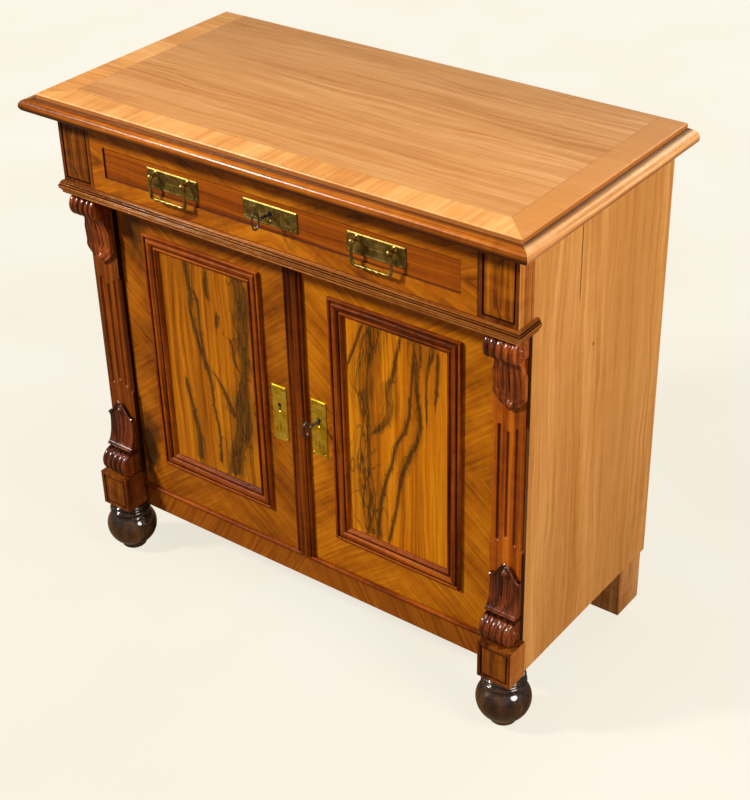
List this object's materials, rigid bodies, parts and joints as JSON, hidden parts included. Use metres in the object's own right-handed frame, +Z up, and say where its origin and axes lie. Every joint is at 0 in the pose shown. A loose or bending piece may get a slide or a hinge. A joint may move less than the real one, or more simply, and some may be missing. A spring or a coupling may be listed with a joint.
{
  "type": "low cupboard",
  "caption": "Low walnut cupboard with a frieze drawer over panelled doors, fluted pilasters with carved consoles, and bun feet at the front",
  "frame": {"origin": "on the floor, under the middle of the bounding box", "axes": "+X to the right as seen from the front, the doors face -Y, +Z up"},
  "size_m": [1.01, 0.51, 0.955],
  "materials": {
    "top_veneer": "polished walnut veneer, tan to orange",
    "walnut_side": "polished light walnut",
    "crossband_veneer": "polished golden walnut veneer with diagonal grain",
    "figured_veneer": "polished walnut veneer with bold dark streaks",
    "red_walnut": "polished dark red-brown walnut",
    "moulding_walnut": "polished orange-brown walnut",
    "dark_foot": "glossy near-black turned wood",
    "pine": "plain pine, unpolished",
    "brass": "aged brass",
    "iron": "dark worn iron"
  },
  "bodies": {
    "case": {"back_panel": "pine", "bottom_board": "pine", "bun_foot_left": "dark_foot", "bun_foot_right": "dark_foot", "drawer_rail": "red_walnut", "drawer_runner_left": "pine", "drawer_runner_right": "pine", "frieze_block_left": "crossband_veneer", "frieze_block_right": "crossband_veneer", "left_door_lower_pin": "iron", "left_door_upper_pin": "iron", "lower_console_left": "red_walnut", "lower_console_right": "red_walnut", "pilaster_base_left": "crossband_veneer", "pilaster_base_right": "crossband_veneer", "pilaster_left": "red_walnut", "pilaster_right": "red_walnut", "plinth_bead": "red_walnut", "plinth_rail": "crossband_veneer", "rear_foot_left": "walnut_side", "rear_foot_right": "walnut_side", "right_door_lower_pin": "iron", "right_door_upper_pin": "iron", "shelf": "pine", "side_panel_left": "walnut_side", "side_panel_right": "walnut_side", "top_board": "top_veneer", "top_moulding_front": "moulding_walnut", "top_moulding_left": "moulding_walnut", "top_moulding_right": "moulding_walnut", "top_rail": "crossband_veneer", "upper_console_left": "red_walnut", "upper_console_right": "red_walnut", "waist_moulding": "red_walnut"},
    "drawer": {"drawer_front": "crossband_veneer", "drawer_side_left": "pine", "drawer_side_right": "pine", "drawer_back": "pine", "drawer_bottom": "pine", "pull_plate_left": "brass", "pull_plate_right": "brass", "drawer_escutcheon": "brass", "drawer_lock": "iron"},
    "left_bail": {"bail_left": "brass"},
    "right_bail": {"bail_right": "brass"},
    "drawer_key": {"drawer_key": "iron"},
    "drawer_lock_bolt": {"drawer_lock_bolt": "iron"},
    "left_door": {"left_door_frame": "crossband_veneer", "left_door_panel": "figured_veneer", "left_door_moulding": "red_walnut", "left_door_escutcheon": "brass"},
    "left_door_bolt": {"left_door_bolt": "iron"},
    "right_door": {"right_door_frame": "crossband_veneer", "right_door_panel": "figured_veneer", "right_door_moulding": "red_walnut", "centre_astragal": "red_walnut", "right_door_escutcheon": "brass", "right_door_lock": "iron"},
    "right_door_key": {"right_door_key": "iron"},
    "right_door_lock_bolt": {"right_door_lock_bolt": "iron"}
  },
  "joints": [
    {"name": "drawer_slide", "type": "slide", "parent": "case", "child": "drawer", "axis": [0, -1, 0], "range_m": [0, 0.3]},
    {"name": "left_door_hinge", "type": "hinge", "parent": "case", "child": "left_door", "pos_m": [-0.3864, -0.1555, 0.1535], "axis": [0, 0, -1], "range_deg": [0, 90]},
    {"name": "right_door_hinge", "type": "hinge", "parent": "case", "child": "right_door", "pos_m": [0.3864, -0.1555, 0.1535], "axis": [0, 0, 1], "range_deg": [0, 90]},
    {"name": "left_bail_swing", "type": "hinge", "parent": "drawer", "child": "left_bail", "pos_m": [-0.208, -0.2193, 0.85825], "axis": [-1, 0, 0], "range_deg": [0, 120]},
    {"name": "right_bail_swing", "type": "hinge", "parent": "drawer", "child": "right_bail", "pos_m": [0.208, -0.2193, 0.85825], "axis": [-1, 0, 0], "range_deg": [0, 120]},
    {"name": "drawer_key_turn", "type": "hinge", "parent": "drawer", "child": "drawer_key", "pos_m": [0, -0.205, 0.85225], "axis": [0, 1, 0], "range_deg": [0, 180]},
    {"name": "drawer_lock_bolt_slide", "type": "slide", "parent": "drawer", "child": "drawer_lock_bolt", "axis": [0, 0, 1], "range_m": [0, 0.008]},
    {"name": "left_door_bolt_slide", "type": "slide", "parent": "left_door", "child": "left_door_bolt", "axis": [0, 0, 1], "range_m": [0, 0.011]},
    {"name": "right_door_key_turn", "type": "hinge", "parent": "right_door", "child": "right_door_key", "pos_m": [0.0425, -0.16, 0.455], "axis": [0, 1, 0], "range_deg": [0, 180]},
    {"name": "right_door_lock_bolt_slide", "type": "slide", "parent": "right_door", "child": "right_door_lock_bolt", "axis": [-1, 0, 0], "range_m": [0, 0.008]}
  ],
  "couplings": [
    {"joint": "drawer_key_turn", "follows": "drawer_lock_bolt_slide", "rad_per_m": 392.69},
    {"joint": "right_door_key_turn", "follows": "right_door_lock_bolt_slide", "rad_per_m": 392.69}
  ]
}
